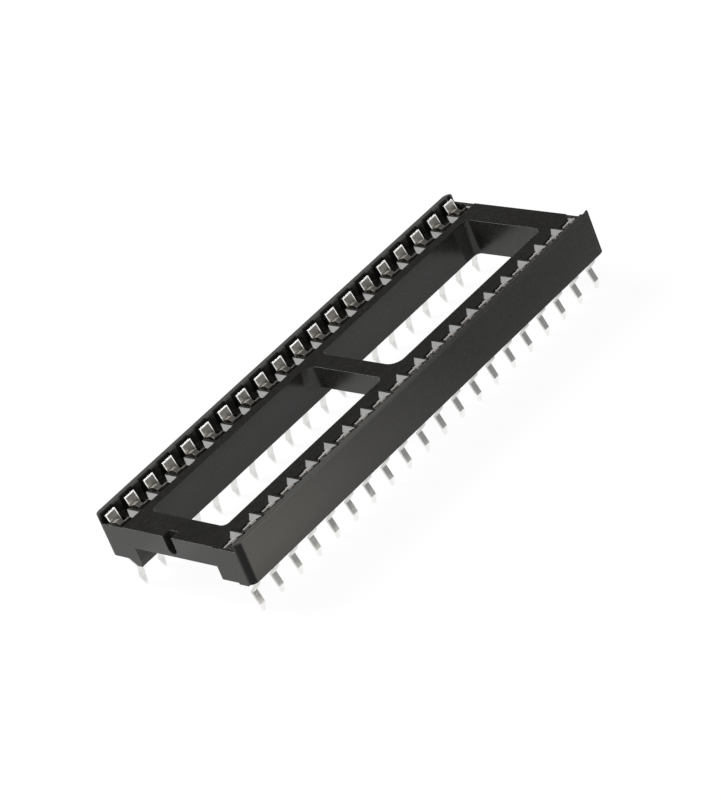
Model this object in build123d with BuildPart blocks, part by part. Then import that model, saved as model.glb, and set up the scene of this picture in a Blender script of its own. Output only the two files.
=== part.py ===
from build123d import *
import os

# A 40 way DIP IC socket, 0.6 inch wide: one moulded open frame and 40 stamped
# dual-leaf contacts. Millimetres. X runs along the rows, Z is up, and the origin
# lies under the middle of the frame, level with the tips of the solder tails.
# Sizes that start at a row line count outwards, away from the windows.

# Contact grid
PITCH = 2.54
CONTACTS_PER_ROW = 20
ROW_SPACING = 15.24

# Frame, seen from above
END_MARGIN = 1.07          # last contact to end face
SIDE_MARGIN = 1.27         # row line to outer face
WINDOW_WIDTH = 9.32        # between the rails, at the deck
NOTCHED_BAR = 2.69         # end bar that carries the polarisation notch
PLAIN_BAR = 2.62           # the other end bar
MIDDLE_BAR = 1.88
MIDDLE_BAR_AT = 0.12       # middle of the middle bar, from the middle of the frame
CORNER_RADIUS = 0.7        # upright outer corners
GATE_RADIUS = 1.2          # two opposite window corners at the middle bar
WINDOW_RADIUS = 0.6        # the other window corners
WINDOW_DRAFT = 3.5         # degrees; the windows narrow downwards

# Frame, heights above the underside of the rails
WALL_TOP = 4.29            # raised outer walls
DECK = 3.53                # face that the chip lies over
END_WALL_TOP = 3.45
POCKET_FLOOR = 0.8
PARTITION_TOP = 2.9        # walls between neighbouring contacts
NOTCHED_BAR_UNDER = 1.38
MIDDLE_BAR_UNDER = 1.36

# Pockets and lead-in teeth, across the row from the row line
WALL_INNER = 0.83          # outer wall behind a contact
PILASTER_FACE = 0.63       # outer wall between two contacts
TOOTH_TIP = -0.42
TOOTH_SHOULDER = -1.17
POCKET_INNER = -1.6
TOOTH_ROOT = -1.97

# Pockets and lead-in teeth, along the row
POCKET_WIDTH = 1.64
THROAT_WIDTH = 1.3         # opening between two teeth
TOOTH_RIDGE = 0.14         # flat left along the top of a tooth
LEAD_IN_DROP = 0.33        # from the ridge down to the throat
RIM_CHAMFER = 0.12         # inner top edge of the outer walls

# Notch and feet
NOTCH_WIDTH = 1.05
NOTCH_DEPTH = 0.9
NOTCH_BOTTOM = 1.7
UNDERCUT_WIDTH = 10.2      # clear width under the notched bar
FOOT_HEIGHT = 0.7
FOOT_TOP_WIDTH = 1.2
FOOT_WIDTH = 0.55
FOOT_LENGTH = 1.9
FOOT_DRAFT = 0.15          # inner face of a foot, top to bottom
PAD_HEIGHT = 0.16
PAD_WIDTH = 1.1
PAD_LENGTH = 0.42

# Contact strip
STRIP = 0.2
STRIP_WIDTH = 1.24
LEAF_TOP = 4.05
LEAF_TIP = 0.4             # outer leaf at its top, from the row line
LEAF_BELLY = 0.08          # outer leaf where it pinches the lead
BELLY_HEIGHT = 2.85
LEAF_STEM = 0.23           # outer leaf and tail neck
STEM_HEIGHT = 1.9
INNER_LEAF = -1.12
INNER_TOP = 3.28
TONGUE_WIDTH = 0.6
TONGUE_CREST = 3.42
TONGUE_CREST_AT = -0.72
TONGUE_TIP = -0.1
TONGUE_TIP_HEIGHT = 3.2
BEND = 0.3                 # size of the two bends at the base

# Solder tail, heights below the underside of the rails
TAIL_LENGTH = 3.66
TAIL_WIDTH = 0.6
NECK_WIDTH = 1.1
NECK_END = 0.25            # full neck width ends here
SHOULDER_END = 0.8         # tail width is reached here
JOG_START = 0.85
JOG_END = 1.6
JOG = -0.55                # tail at the foot of the jog, from the row line
KNEE = 2.85
KNEE_AT = -0.16            # tail at its knee, from the row line
TIP_AT = -0.34             # tail at its tip, from the row line
TIP_WIDTH = 0.24
SLOT_CLEARANCE = 0.05

row_line = ROW_SPACING / 2
row_length = (CONTACTS_PER_ROW - 1) * PITCH
frame_length = row_length + 2 * END_MARGIN
frame_width = ROW_SPACING + 2 * SIDE_MARGIN
half_length = frame_length / 2
half_window = WINDOW_WIDTH / 2
rail_bottom = TAIL_LENGTH
overshoot = 0.5            # how far cutting tools stand out of what they cut


def level(height):
    """Horizontal plane at a height above the underside of the rails."""
    return Plane.XY.offset(rail_bottom + height)


# One contact pocket, as the space to be cut, on the row line at x = 0.
half_throat = THROAT_WIDTH / 2
half_tooth_gap = PITCH / 2 - TOOTH_RIDGE / 2

with BuildPart() as lead_in:
    # Funnel over a contact: the flanks of two teeth, and the slope of the deck between them.
    with BuildSketch(level(DECK)):
        with Locations((0, (TOOTH_ROOT + TOOTH_TIP) / 2)):
            Rectangle(2 * half_tooth_gap, TOOTH_TIP - TOOTH_ROOT)
    with BuildSketch(level(DECK - LEAD_IN_DROP)):
        with Locations((0, (POCKET_INNER + TOOTH_TIP) / 2)):
            Rectangle(THROAT_WIDTH, TOOTH_TIP - POCKET_INNER)
    loft()

with BuildPart() as pocket:
    # Opening between the teeth, which widens towards their tips.
    with BuildSketch(level(PARTITION_TOP)):
        with BuildLine():
            Polyline(
                (-half_throat, POCKET_INNER),
                (half_throat, POCKET_INNER),
                (half_throat, TOOTH_SHOULDER),
                (half_tooth_gap, TOOTH_TIP),
                (-half_tooth_gap, TOOTH_TIP),
                (-half_throat, TOOTH_SHOULDER),
                close=True,
            )
        make_face()
    extrude(amount=WALL_TOP - PARTITION_TOP)
    add(lead_in.part)
    # The well that the contact stands in.
    with BuildSketch(level(POCKET_FLOOR)):
        with Locations((0, (POCKET_INNER + TOOTH_TIP) / 2)):
            Rectangle(POCKET_WIDTH, TOOTH_TIP - POCKET_INNER)
    extrude(amount=PARTITION_TOP - POCKET_FLOOR)
    with BuildSketch(level(POCKET_FLOOR)):
        with Locations((0, (TOOTH_TIP + WALL_INNER) / 2)):
            Rectangle(POCKET_WIDTH, WALL_INNER - TOOTH_TIP)
    extrude(amount=WALL_TOP - POCKET_FLOOR + overshoot)
    # Slot in the floor for the neck of the tail.
    with BuildSketch(level(-overshoot)):
        with Locations((0, LEAF_STEM)):
            Rectangle(NECK_WIDTH + 2 * SLOT_CLEARANCE, STRIP + 2 * SLOT_CLEARANCE)
    extrude(amount=POCKET_FLOOR + overshoot)


# The moulded frame
pilaster_y = row_line + PILASTER_FACE
wall_outer_y = row_line + SIDE_MARGIN
pocket_edge_x = row_length / 2 + POCKET_WIDTH / 2
end_wall = half_length - pocket_edge_x
notched_inner_x = NOTCHED_BAR - half_length
plain_inner_x = half_length - PLAIN_BAR

with BuildPart() as housing:
    # Body up to the deck, with the raised outer walls on it.
    with BuildSketch(level(0)):
        RectangleRounded(frame_length, frame_width, CORNER_RADIUS)
    extrude(amount=WALL_TOP)
    with BuildSketch(level(DECK)):
        Rectangle(frame_length + overshoot, 2 * pilaster_y)
    extrude(amount=WALL_TOP, mode=Mode.SUBTRACT)
    rims = housing.edges().filter_by(Axis.X).group_by(Axis.Z)[-1]
    wall_middle_y = (pilaster_y + wall_outer_y) / 2
    chamfer([edge for edge in rims if abs(edge.center().Y) < wall_middle_y], RIM_CHAMFER)

    # One long window, then the middle bar across it.
    with BuildSketch(level(DECK)):
        with Locations(((notched_inner_x + plain_inner_x) / 2, 0)):
            Rectangle(plain_inner_x - notched_inner_x, WINDOW_WIDTH)
    extrude(amount=-DECK - overshoot, taper=WINDOW_DRAFT, mode=Mode.SUBTRACT)
    with BuildSketch(level(DECK)):
        with Locations((MIDDLE_BAR_AT, 0)):
            Rectangle(MIDDLE_BAR, WINDOW_WIDTH + overshoot)
    extrude(amount=MIDDLE_BAR_UNDER - DECK, taper=-WINDOW_DRAFT)

    def is_window_corner(edge):
        """True for the nearly upright edges inside the windows."""
        run = edge @ 0 - edge @ 1
        return abs(run.Y) < abs(run.Z) and abs(edge.center().Y) < half_window

    def is_gate(edge):
        """True for the two opposite corners that have the larger radius."""
        x = edge.center().X - MIDDLE_BAR_AT
        return abs(x) < MIDDLE_BAR and x * edge.center().Y < 0

    corners = housing.edges().filter_by(is_window_corner)
    fillet([edge for edge in corners if not is_gate(edge)], WINDOW_RADIUS)
    corners = housing.edges().filter_by(is_window_corner)
    fillet([edge for edge in corners if is_gate(edge)], GATE_RADIUS)

    # Clearance under the notched end bar.
    undercut_reach = NOTCHED_BAR + WINDOW_RADIUS / 2
    with BuildSketch(level(-overshoot)):
        with Locations((-half_length, 0)):
            Rectangle(2 * undercut_reach, UNDERCUT_WIDTH)
    extrude(amount=NOTCHED_BAR_UNDER + overshoot, mode=Mode.SUBTRACT)

    # Polarisation notch
    notch_centre = rail_bottom + NOTCH_BOTTOM + NOTCH_WIDTH / 2
    with BuildSketch(Plane.YZ.offset(-half_length)):
        with Locations((0, notch_centre)):
            Circle(NOTCH_WIDTH / 2)
        with Locations((0, notch_centre + DECK / 2)):
            Rectangle(NOTCH_WIDTH, DECK)
    extrude(amount=NOTCH_DEPTH, mode=Mode.SUBTRACT)

    # Pockets of both rows, and the open channel past the tips of the teeth.
    with PolarLocations(0, 2):
        with Locations((0, row_line)):
            with GridLocations(PITCH, 0, CONTACTS_PER_ROW, 1):
                add(pocket.part, mode=Mode.SUBTRACT)
    with BuildSketch(level(PARTITION_TOP)):
        with PolarLocations(row_line + (TOOTH_TIP + PILASTER_FACE) / 2, 2, start_angle=90):
            Rectangle(PILASTER_FACE - TOOTH_TIP, 2 * pocket_edge_x)
    extrude(amount=WALL_TOP, mode=Mode.SUBTRACT)

    # Walls that close the rows at the four ends, a little below the deck.
    end_wall_reach = PILASTER_FACE - TOOTH_ROOT
    end_wall_y = row_line + (PILASTER_FACE + TOOTH_ROOT) / 2
    with BuildSketch(level(END_WALL_TOP)):
        with GridLocations(2 * half_length - end_wall, 2 * end_wall_y, 2, 2):
            Rectangle(end_wall, end_wall_reach)
    extrude(amount=DECK - END_WALL_TOP, mode=Mode.SUBTRACT)
    with BuildSketch(level(PARTITION_TOP)):
        with GridLocations(2 * half_length - end_wall, 2 * end_wall_y, 2, 2):
            Rectangle(end_wall, end_wall_reach)
    extrude(amount=END_WALL_TOP - PARTITION_TOP)

    # Standoff feet on two opposite corners, low pads on the other two.
    foot_x = half_length - FOOT_LENGTH / 2
    foot_inner_y = UNDERCUT_WIDTH / 2
    foot_bottom_y = foot_inner_y + FOOT_DRAFT
    for corner in (-1, 1):
        with BuildSketch(Plane.YZ.offset(corner * foot_x)):
            with BuildLine():
                Polyline(
                    (-corner * foot_inner_y, rail_bottom),
                    (-corner * foot_bottom_y, rail_bottom - FOOT_HEIGHT),
                    (-corner * (foot_bottom_y + FOOT_WIDTH), rail_bottom - FOOT_HEIGHT),
                    (-corner * (foot_inner_y + FOOT_TOP_WIDTH), rail_bottom),
                    close=True,
                )
            make_face()
        extrude(amount=FOOT_LENGTH / 2, both=True)
        with BuildSketch(level(-PAD_HEIGHT)):
            with Locations((corner * (half_length - PAD_LENGTH / 2), corner * row_line)):
                Rectangle(PAD_LENGTH, PAD_WIDTH)
        extrude(amount=PAD_HEIGHT)


# One contact, on the row line at x = 0, with its outer leaf towards +Y
base_height = POCKET_FLOOR + STRIP / 2


def strip_line(*points):
    """Centreline of the folded strip, from points given as y and height above the rails."""
    return Polyline([(y, rail_bottom + height) for y, height in points])


leaf_line = strip_line(
    (LEAF_TIP, LEAF_TOP),
    (LEAF_BELLY, BELLY_HEIGHT),
    (LEAF_STEM, STEM_HEIGHT),
    (LEAF_STEM, base_height + BEND),
    (LEAF_STEM - BEND, base_height),
    (INNER_LEAF + BEND, base_height),
    (INNER_LEAF, base_height + BEND),
    (INNER_LEAF, INNER_TOP),
)
tongue_line = strip_line(
    (INNER_LEAF, INNER_TOP - STRIP),
    (INNER_LEAF, INNER_TOP),
    (TONGUE_CREST_AT, TONGUE_CREST),
    (TONGUE_TIP, TONGUE_TIP_HEIGHT),
)
tail_line = strip_line(
    (LEAF_STEM, base_height + BEND),
    (LEAF_STEM, -JOG_START),
    (JOG, -JOG_END),
    (KNEE_AT, -KNEE),
    (TIP_AT, -TAIL_LENGTH),
)

with BuildPart() as tail:
    # Neck, jog towards the row line, and tip
    with BuildSketch(Plane.YZ):
        trace(tail_line, line_width=STRIP)
    extrude(amount=NECK_WIDTH / 2, both=True)
    # Outline seen along Y: shoulders below the neck and a tapered tip.
    with BuildSketch(Plane.XZ):
        with BuildLine():
            Polyline(
                (0, rail_bottom - TAIL_LENGTH),
                (TIP_WIDTH / 2, rail_bottom - TAIL_LENGTH),
                (TAIL_WIDTH / 2, rail_bottom - KNEE),
                (TAIL_WIDTH / 2, rail_bottom - SHOULDER_END),
                (NECK_WIDTH / 2, rail_bottom - NECK_END),
                (NECK_WIDTH / 2, rail_bottom + base_height + BEND),
                (0, rail_bottom + base_height + BEND),
            )
            mirror(about=Plane.YZ)
        make_face()
    extrude(amount=1, both=True, mode=Mode.INTERSECT)

with BuildPart() as contact:
    # Outer leaf, base and inner leaf
    with BuildSketch(Plane.YZ):
        trace(leaf_line, line_width=STRIP)
    extrude(amount=STRIP_WIDTH / 2, both=True)
    # Tongue: half of the inner leaf's end, folded out towards the outer leaf.
    with BuildSketch(Plane.YZ.offset(-STRIP_WIDTH / 2)):
        trace(tongue_line, line_width=STRIP)
    extrude(amount=TONGUE_WIDTH)
    add(tail.part)


os.makedirs("parts", exist_ok=True)
housing.part.label = "housing"
export_step(housing.part, "parts/housing.step")

# Contacts, numbered as the leads of the package: along the near row, back along the far one
for index in range(2 * CONTACTS_PER_ROW):
    far_row = index // CONTACTS_PER_ROW
    place = index % CONTACTS_PER_ROW
    x = (place * PITCH - row_length / 2) * (1 - 2 * far_row)
    y = row_line * (2 * far_row - 1)
    with BuildPart() as placed:
        with Locations(Location((x, y, 0), (0, 0, 180 * (1 - far_row)))):
            add(contact.part)
    placed.part.label = f"contact_{index + 1:02d}"
    export_step(placed.part, f"parts/{placed.part.label}.step")
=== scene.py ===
from math import radians

import bpy
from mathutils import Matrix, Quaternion, Vector

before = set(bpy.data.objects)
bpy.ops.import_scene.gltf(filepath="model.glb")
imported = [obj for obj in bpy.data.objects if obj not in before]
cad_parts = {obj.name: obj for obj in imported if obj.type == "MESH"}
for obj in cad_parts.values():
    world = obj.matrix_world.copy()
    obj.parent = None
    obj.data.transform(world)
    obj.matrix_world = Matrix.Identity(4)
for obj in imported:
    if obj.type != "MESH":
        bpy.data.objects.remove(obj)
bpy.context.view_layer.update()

# A 40 way DIP IC socket. The shapes are all from the CAD; this script gives them
# their materials and adds the floor, the light and the camera. Lengths are named
# in millimetres in the part's frame: X along the rows, +Y towards the far row in
# the photo, Z up from the tips of the solder tails.
MM = 0.001
scene = bpy.context.scene

# ---------------------------------------------------------------- camera

CAMERA_AT = Vector((-181.28, -232.35, 168.97)) * MM
CAMERA_AIM = Vector((-2.44, -2.64, 5.66)) * MM
CAMERA_ROLL = -22.4                     # degrees
CAMERA_LENS = 171.7
CAMERA_SENSOR = 36
CAMERA_CLIP = (0.01, 20)                # metres

lens = bpy.data.cameras.new("camera")
lens.lens = CAMERA_LENS
lens.sensor_width = CAMERA_SENSOR
lens.clip_start, lens.clip_end = CAMERA_CLIP
camera = bpy.data.objects.new("camera", lens)
scene.collection.objects.link(camera)
camera.location = CAMERA_AT
camera.rotation_mode = "QUATERNION"
unrolled = (CAMERA_AIM - CAMERA_AT).to_track_quat("-Z", "Y")
camera.rotation_quaternion = unrolled @ Quaternion((0, 0, 1), radians(CAMERA_ROLL))
scene.camera = camera


# ---------------------------------------------------------------- node helpers

def new_material(name):
    material = bpy.data.materials.new(name)
    material.use_nodes = True
    material.node_tree.nodes.clear()
    return material, material.node_tree


def node(tree, kind, **settings):
    """A new node, with settings given by the names of its inputs or its attributes."""
    made = tree.nodes.new(kind)
    for key, value in settings.items():
        if key in made.inputs:
            made.inputs[key].default_value = value
        else:
            setattr(made, key, value)
    return made


def position(tree, kind="Object"):
    """Texture coordinates: all three in one socket, then X, Y and Z."""
    place = node(tree, "ShaderNodeTexCoord").outputs[kind]
    split = node(tree, "ShaderNodeSeparateXYZ")
    tree.links.new(place, split.inputs[0])
    return place, split.outputs["X"], split.outputs["Y"], split.outputs["Z"]


def noise(tree, size, detail=3.0, roughness=0.55):
    """Noise whose grains are about size millimetres across."""
    place = node(tree, "ShaderNodeTexCoord")
    grain = node(tree, "ShaderNodeTexNoise", Scale=1 / (size * MM), Detail=detail,
                 Roughness=roughness)
    tree.links.new(place.outputs["Object"], grain.inputs["Vector"])
    return grain.outputs["Fac"]


def reckon(tree, operation, first, second=0.0):
    """Result of a maths node; each input is a socket or a number."""
    made = node(tree, "ShaderNodeMath", operation=operation)
    for socket, value in zip(made.inputs, (first, second)):
        if isinstance(value, (int, float)):
            socket.default_value = value
        else:
            tree.links.new(value, socket)
    return made.outputs["Value"]


def times(tree, first, second):
    """Product; of two masks, the place where both are 1."""
    return reckon(tree, "MULTIPLY", first, second)


def other_than(tree, mask):
    """The mask turned round: 1 where it is 0."""
    return reckon(tree, "SUBTRACT", 1.0, mask)


def size_of(tree, value):
    """The value without its sign."""
    return reckon(tree, "ABSOLUTE", value)


def spread(tree, value, low, high, start=0.3, end=0.7):
    """Maps start..end of a value onto low..high; the usual start and end suit noise."""
    made = node(tree, "ShaderNodeMapRange")
    made.inputs["From Min"].default_value = start
    made.inputs["From Max"].default_value = end
    made.inputs["To Min"].default_value = low
    made.inputs["To Max"].default_value = high
    tree.links.new(value, made.inputs["Value"])
    return made.outputs["Result"]


def rise(tree, value, start, end):
    """Mask that goes from 0 to 1 between two lengths in millimetres."""
    return spread(tree, value, 0, 1, start * MM, end * MM)


def fall(tree, value, start, end):
    """Mask that goes from 1 to 0 between two lengths in millimetres."""
    return spread(tree, value, 1, 0, start * MM, end * MM)


def around(tree, value, middle, reach, end):
    """Mask that is 1 within reach of the middle and 0 past end, in millimetres."""
    return fall(tree, size_of(tree, reckon(tree, "SUBTRACT", value, middle * MM)), reach, end)


def blend(tree, mask, first, second):
    """Colour that goes from first to second."""
    made = node(tree, "ShaderNodeMix", data_type="RGBA")
    made.inputs["A"].default_value = (*first, 1)
    made.inputs["B"].default_value = (*second, 1)
    tree.links.new(mask, made.inputs["Factor"])
    return made.outputs["Result"]


def cover(tree, colour, mask, other, blend_type="MIX"):
    """A colour socket, mixed with or multiplied by another colour where mask is 1."""
    made = node(tree, "ShaderNodeMix", data_type="RGBA", blend_type=blend_type)
    made.inputs["B"].default_value = (*other, 1)
    tree.links.new(mask, made.inputs["Factor"])
    tree.links.new(colour, made.inputs["A"])
    return made.outputs["Result"]


def soft_edges(tree, radius, samples=6):
    """Normals rounded over the edges, with a radius in millimetres."""
    return node(tree, "ShaderNodeBevel", samples=samples, Radius=radius * MM).outputs["Normal"]


def bumps(tree, normal, height, strength, distance):
    """Normals disturbed by a height, which counts for distance millimetres."""
    made = node(tree, "ShaderNodeBump", Strength=strength, Distance=distance * MM)
    tree.links.new(normal, made.inputs["Normal"])
    tree.links.new(height, made.inputs["Height"])
    return made.outputs["Normal"]


# ---------------------------------------------------------------- plastic

PLASTIC_IOR = 1.52
PLASTIC_TONES = (0.016, 0.0155, 0.014), (0.027, 0.026, 0.023)
# Painted dark reflection on the upright corners of the frame.
CORNER_PAINTED_SHADE = (0.004, 0.004, 0.004)
# Painted sheen on the tops of the raised walls.
WALL_TOP_PAINTED_SHEEN = (0.09, 0.09, 0.084)
PLASTIC_EDGE = 0.07

# Grain sizes.
CLOUD, WAVE, FIBRE, PIT = 6.0, 1.6, 0.35, 0.09

# Painted sheen on the tops of the raised walls, by height, where they are also rougher; less of
# both on the right of the near wall, as the photo shows them.
WALL_TOP_HEIGHT = (7.75, 7.93)
TOP_WEAK_ALONG = (-6, 8)
TOP_WEAK_ACROSS = (-1, 0)
TOP_WEAKENING = 0.7

# Painted dark reflection on the upright corners of the frame, which are also matt, by distance
# from its middle.
CORNER_ALONG = (24.5, 24.75)
CORNER_ACROSS = (8.2, 8.5)

# Matt window corners at the plain end, below the deck: middle, reach and end.
RECESS_ACROSS = (4.3, 0.5, 0.7)
RECESS_ALONG = (21.3, 0.5, 0.9)
RECESS_BELOW = (6.95, 7.05)

# Roughness by the cloud, what the fibre adds to it, and the least in three places.
CLOUD_ROUGH = (0.20, 0.28)
FIBRE_ROUGH = (-0.03, 0.04)
WALL_TOP_ROUGH, CORNER_ROUGH, RECESS_ROUGH = 0.4, 0.95, 0.8

# Strength and height of the bumps.
WAVE_BUMP = (0.10, 0.02)
PIT_BUMP = (0.12, 0.006)


def moulded_plastic():
    """Black glass-filled plastic with a cloudy semi-gloss, a painted dark reflection on the
    upright corners and a painted sheen on the wall tops.
    """
    material, tree = new_material("moulded_plastic")
    link = tree.links.new
    out = node(tree, "ShaderNodeOutputMaterial")
    shader = node(tree, "ShaderNodeBsdfPrincipled", IOR=PLASTIC_IOR)
    cloud = noise(tree, CLOUD, detail=4)
    fibre = noise(tree, FIBRE, detail=5, roughness=0.65)
    _, x, y, z = position(tree)

    top_weakened = times(tree, rise(tree, x, *TOP_WEAK_ALONG), fall(tree, y, *TOP_WEAK_ACROSS))
    top_weakened = times(tree, top_weakened, TOP_WEAKENING)
    # Tops of the raised walls: painted sheen in the colour, and more roughness.
    wall_top = times(tree, rise(tree, z, *WALL_TOP_HEIGHT), other_than(tree, top_weakened))
    corner = times(tree, rise(tree, size_of(tree, x), *CORNER_ALONG),
                   rise(tree, size_of(tree, y), *CORNER_ACROSS))
    recess = times(tree, around(tree, size_of(tree, y), *RECESS_ACROSS),
                   around(tree, x, *RECESS_ALONG))
    recess = times(tree, recess, fall(tree, z, *RECESS_BELOW))

    colour = blend(tree, spread(tree, fibre, 0, 1), *PLASTIC_TONES)
    # Painted dark reflection on the upright corners.
    colour = cover(tree, colour, corner, CORNER_PAINTED_SHADE)
    # Painted sheen on the wall tops.
    colour = cover(tree, colour, wall_top, WALL_TOP_PAINTED_SHEEN)

    rough = reckon(tree, "ADD", spread(tree, cloud, *CLOUD_ROUGH),
                   spread(tree, fibre, *FIBRE_ROUGH))
    for mask, least in (wall_top, WALL_TOP_ROUGH), (corner, CORNER_ROUGH), (recess, RECESS_ROUGH):
        rough = reckon(tree, "MAXIMUM", rough, times(tree, mask, least))

    normal = soft_edges(tree, PLASTIC_EDGE)
    normal = bumps(tree, normal, noise(tree, WAVE, detail=2), *WAVE_BUMP)
    normal = bumps(tree, normal, noise(tree, PIT, detail=2), *PIT_BUMP)
    link(normal, shader.inputs["Normal"])
    link(colour, shader.inputs["Base Color"])
    link(rough, shader.inputs["Roughness"])
    link(shader.outputs["BSDF"], out.inputs["Surface"])
    return material


# ---------------------------------------------------------------- tin

TIN_TONES = (0.72, 0.715, 0.69), (0.85, 0.845, 0.83)
# Painted highlight on the far row's rims and on the tail tips.
PAINTED_HIGHLIGHT_TONE = (0.95, 0.945, 0.93)
TIN_EDGE = 0.04
TIN_CLOUD, TIN_FINE = 0.8, 0.12         # grain sizes

# Painted light and shade: what the tin's colour is multiplied by in some places.
NEAR_PAINTED_SHADE = (0.76, 0.74, 0.73)
CUT_PAINTED_SHADE = (0.20, 0.19, 0.18)
# Painted warm light on the far row.
FAR_PAINTED_WARM_LIGHT = (1.0, 0.965, 0.91)
# Painted shade on the far row's inner leaves.
INNER_PAINTED_SHADE = (0.80, 0.80, 0.80)

# The contacts stand on this pitch, each in the middle of its step.
PITCH = 2.54
STEPS_PER_ROW = 20
LEAF_TOP = 7.71

# Upper parts of the contacts, tails and tail tips, by height.
CONTACT_HEAD = (5.0, 6.0)
TAIL = (3.0, 3.7)
TAIL_TIP = (0.75, 0.85)

# The two rows, and the inner leaves of the far one, by place across. They differ
# only to match how the photo's light falls on them: the contacts are all alike.
NEAR_ROW = (-6.0, -5.0)
FAR_ROW = (5.0, 6.0)
FAR_INNER = (7.0, 7.2)

# Rolled rims of the far row's outer leaves, with a painted highlight: past a place across, and
# there to the left, to the right and above these places on the leaf. Their normals lean this way.
RIM_PAST = (7.56, 7.60)
RIM_LEFT = (-0.56, -0.48)
RIM_RIGHT = (0.48, 0.56)
RIM_TOP = (LEAF_TOP - 0.12, LEAF_TOP - 0.06)
RIM_LEAN = (-0.55, 0.0, 0.11)

# Painted shade on the cut tops of the near row's outer leaves, by place across and by height.
CUT_ACROSS = (-7.80, -7.70)
CUT_TOP = (LEAF_TOP - 0.14, LEAF_TOP - 0.08)

# Roughness by the cloud, and what the rims, the tails and the near row change in it.
TIN_ROUGH = (0.30, 0.40)
RIM_POLISH, TAIL_POLISH, NEAR_DULLNESS = 0.15, 0.24, 0.30
TIN_BUMP = (0.15, 0.01)                 # strength and height


def tin_plate():
    """Satin tin. Painted highlights on the far row's rims and the tail tips; painted shade on the
    near row, which is also rougher, on its cut tops and on the far row's inner leaves; painted
    warm light on the far row. Tails are smoother.
    """
    material, tree = new_material("tin_plate")
    link = tree.links.new
    out = node(tree, "ShaderNodeOutputMaterial")
    shader = node(tree, "ShaderNodeBsdfPrincipled", Metallic=1.0)
    cloud = noise(tree, TIN_CLOUD, detail=4)
    _, x, y, z = position(tree)

    # Distance along the row from the middle of the contact. The modulo needs numbers
    # above 0, so x is first moved by a whole number of steps.
    shifted = reckon(tree, "ADD", x, STEPS_PER_ROW * PITCH * MM)
    aside = reckon(tree, "MODULO", shifted, PITCH * MM)
    aside = reckon(tree, "SUBTRACT", aside, PITCH * MM / 2)

    head = rise(tree, z, *CONTACT_HEAD)
    flat = reckon(tree, "SUBTRACT", rise(tree, aside, *RIM_LEFT), rise(tree, aside, *RIM_RIGHT))
    flat = times(tree, flat, fall(tree, z, *RIM_TOP))
    rim = times(tree, other_than(tree, flat), times(tree, rise(tree, y, *RIM_PAST), head))
    near = times(tree, fall(tree, y, *NEAR_ROW), head)
    far = times(tree, rise(tree, y, *FAR_ROW), head)
    inner = times(tree, far, fall(tree, y, *FAR_INNER))
    cut = times(tree, fall(tree, y, *CUT_ACROSS), rise(tree, z, *CUT_TOP))
    tail = fall(tree, z, *TAIL)
    # Painted highlight on the far row's rims and the tail tips.
    bright = reckon(tree, "MAXIMUM", rim, fall(tree, z, *TAIL_TIP))

    colour = blend(tree, spread(tree, cloud, 0, 1), *TIN_TONES)
    # Painted shade on the near row, its cut tops and the far inner leaves, and painted warm light
    # on the far row.
    for mask, painted_light in (near, NEAR_PAINTED_SHADE), (cut, CUT_PAINTED_SHADE), (far, FAR_PAINTED_WARM_LIGHT), (inner, INNER_PAINTED_SHADE):
        colour = cover(tree, colour, mask, painted_light, "MULTIPLY")
    colour = cover(tree, colour, bright, PAINTED_HIGHLIGHT_TONE)

    rough = spread(tree, cloud, *TIN_ROUGH)
    rough = reckon(tree, "SUBTRACT", rough, times(tree, rim, RIM_POLISH))
    rough = reckon(tree, "SUBTRACT", rough, times(tree, tail, TAIL_POLISH))
    rough = reckon(tree, "ADD", rough, times(tree, near, NEAR_DULLNESS))

    lean = node(tree, "ShaderNodeVectorMath", operation="SCALE")
    lean.inputs[0].default_value = RIM_LEAN
    link(rim, lean.inputs["Scale"])
    leant = node(tree, "ShaderNodeVectorMath", operation="ADD")
    link(soft_edges(tree, TIN_EDGE), leant.inputs[0])
    link(lean.outputs["Vector"], leant.inputs[1])
    unit = node(tree, "ShaderNodeVectorMath", operation="NORMALIZE")
    link(leant.outputs["Vector"], unit.inputs[0])
    normal = bumps(tree, unit.outputs["Vector"], noise(tree, TIN_FINE, detail=3), *TIN_BUMP)

    link(normal, shader.inputs["Normal"])
    link(colour, shader.inputs["Base Color"])
    link(rough, shader.inputs["Roughness"])
    link(shader.outputs["BSDF"], out.inputs["Surface"])
    return material


plastic = moulded_plastic()
tin = tin_plate()
for name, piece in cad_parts.items():
    finish = plastic if name == "housing" else tin
    for slot in piece.material_slots:
        slot.material = finish


# ---------------------------------------------------------------- floor

FLOOR_REACH = 4.0                       # metres
FLOOR_SIDES = 96
FLOOR_PAINT = (0.8, 0.8, 0.8, 1)
CAMERA_WHITE = 1.07

# How much of the plain white there is in camera and transmission rays, and of the
# sheet in reflections. The rest is the painted floor, which takes the shadow.
WHITE_SHARE = 0.88
SHEET_SHARE = 0.75

# The sheet: a little brighter along each row, darker in front towards the right,
# with a warm bright patch at the front left.
SHEET_LEVEL = 0.88
STRIP_ACROSS = (8.5, 2.0, 3.0)          # middle, reach and end
STRIP_GAIN = 0.24
FRONT = (-16, -11)
FAR_FRONT = (-27, -21)
TO_THE_RIGHT = (-35, 0)
FRONT_LOSS, FAR_FRONT_LOSS = 0.46, 0.20
PATCH_AT = Vector((-22, -22, 0)) * MM
PATCH_REACH = (4, 34)
PATCH_GAIN = 1.7
SHEET_TONES = (1, 1, 1), (1.0, 0.95, 0.86)


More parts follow.
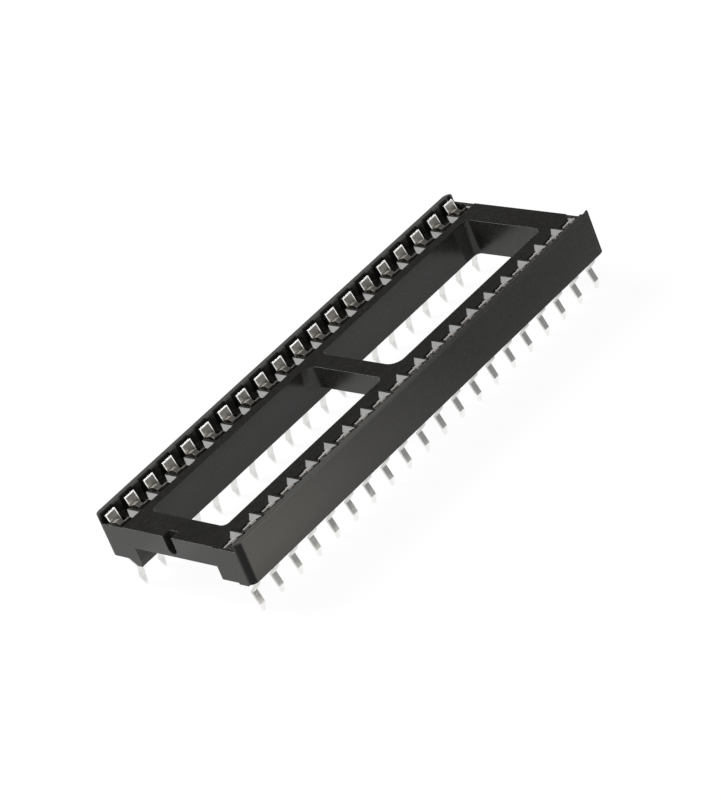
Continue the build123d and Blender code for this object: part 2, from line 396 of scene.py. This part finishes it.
def floor_white():
    """White floor: mostly its own light to the camera, and the sheet in reflections."""
    material, tree = new_material("floor_white")
    link = tree.links.new
    out = node(tree, "ShaderNodeOutputMaterial")
    paint = node(tree, "ShaderNodeBsdfDiffuse", Color=FLOOR_PAINT)
    white = node(tree, "ShaderNodeEmission", Strength=CAMERA_WHITE)
    path = node(tree, "ShaderNodeLightPath")
    place, x, y, _ = position(tree)

    front = fall(tree, y, *FRONT)
    far_front = fall(tree, y, *FAR_FRONT)
    away = node(tree, "ShaderNodeVectorMath", operation="DISTANCE")
    away.inputs[1].default_value = PATCH_AT
    link(place, away.inputs[0])
    patch = times(tree, fall(tree, away.outputs["Value"], *PATCH_REACH),
                  other_than(tree, far_front))
    patch = times(tree, patch, front)

    strip = times(tree, around(tree, size_of(tree, y), *STRIP_ACROSS), STRIP_GAIN)
    loss = reckon(tree, "ADD", times(tree, front, FRONT_LOSS),
                  times(tree, far_front, FAR_FRONT_LOSS))
    loss = times(tree, loss, rise(tree, x, *TO_THE_RIGHT))
    level = reckon(tree, "SUBTRACT", reckon(tree, "ADD", strip, SHEET_LEVEL), loss)
    level = reckon(tree, "ADD", level, times(tree, patch, PATCH_GAIN))
    sheet = node(tree, "ShaderNodeEmission")
    link(blend(tree, patch, *SHEET_TONES), sheet.inputs["Color"])
    link(level, sheet.inputs["Strength"])

    seen = reckon(tree, "ADD", path.outputs["Is Camera Ray"], path.outputs["Is Transmission Ray"])
    plain = node(tree, "ShaderNodeMixShader")
    link(times(tree, seen, WHITE_SHARE), plain.inputs["Fac"])
    link(paint.outputs["BSDF"], plain.inputs[1])
    link(white.outputs["Emission"], plain.inputs[2])
    mixed = node(tree, "ShaderNodeMixShader")
    link(times(tree, path.outputs["Is Glossy Ray"], SHEET_SHARE), mixed.inputs["Fac"])
    link(plain.outputs["Shader"], mixed.inputs[1])
    link(sheet.outputs["Emission"], mixed.inputs[2])
    link(mixed.outputs["Shader"], out.inputs["Surface"])
    return material


bpy.ops.mesh.primitive_circle_add(vertices=FLOOR_SIDES, radius=FLOOR_REACH, fill_type="NGON")
floor = bpy.context.object
floor.name = "floor"
floor.data.materials.append(floor_white())


# ---------------------------------------------------------------- light

KEY_TOWARDS = Vector((-0.205, 0.687, 0.698))
KEY_DISTANCE = 1.0                      # metres
KEY_SIDE = 0.6
KEY_POWER = 7.6                         # watts

lamp = bpy.data.lights.new("key", "AREA")
lamp.shape = "SQUARE"
lamp.size = KEY_SIDE
lamp.energy = KEY_POWER
key = bpy.data.objects.new("key", lamp)
scene.collection.objects.link(key)
key.location = KEY_TOWARDS.normalized() * KEY_DISTANCE
key.rotation_mode = "QUATERNION"
key.rotation_quaternion = KEY_TOWARDS.to_track_quat("Z", "Y")

# The room. Each row goes to spread: a value from low to high, as the cosine towards
# the wall, the dark side or straight up goes from start to end.
FAR_WALL = (0, 1.15, 0.0, 0.5)
FRONT_WALL = (0.15, 1.5, 0.35, 0.85)
UPPER_ROOM = (0.6, 0.05, 0.10, 0.85)
LOW_DOWN = (1, 0, 0.05, 0.25)
FRONT_TOWARDS = (-0.75, -0.66, 0.0)
DARK_TOWARDS = (0.55, 0.60, 0.58)


def cosine_towards(tree, ray, direction):
    """Cosine of the angle between a ray and a direction."""
    made = node(tree, "ShaderNodeVectorMath", operation="DOT_PRODUCT")
    made.inputs[1].default_value = Vector(direction).normalized()
    tree.links.new(ray, made.inputs[0])
    return made.outputs["Value"]


def studio_world():
    """Bright walls low down behind the far row and at the front left; grey above, with
    a dark side high up at the back right."""
    world = bpy.data.worlds.new("studio")
    world.use_nodes = True
    tree = world.node_tree
    tree.nodes.clear()
    link = tree.links.new
    out = node(tree, "ShaderNodeOutputWorld")
    back = node(tree, "ShaderNodeBackground", Color=(1, 1, 1, 1))
    ray, _, y, z = position(tree, "Generated")
    wall = reckon(tree, "MAXIMUM", spread(tree, y, *FAR_WALL),
                  spread(tree, cosine_towards(tree, ray, FRONT_TOWARDS), *FRONT_WALL))
    room = spread(tree, cosine_towards(tree, ray, DARK_TOWARDS), *UPPER_ROOM)
    grey = node(tree, "ShaderNodeMix", data_type="FLOAT")
    link(spread(tree, z, *LOW_DOWN), grey.inputs["Factor"])
    link(room, grey.inputs["A"])
    link(wall, grey.inputs["B"])
    link(grey.outputs["Result"], back.inputs["Strength"])
    link(back.outputs["Background"], out.inputs["Surface"])
    scene.world = world


studio_world()
scene.view_settings.view_transform = "Standard"
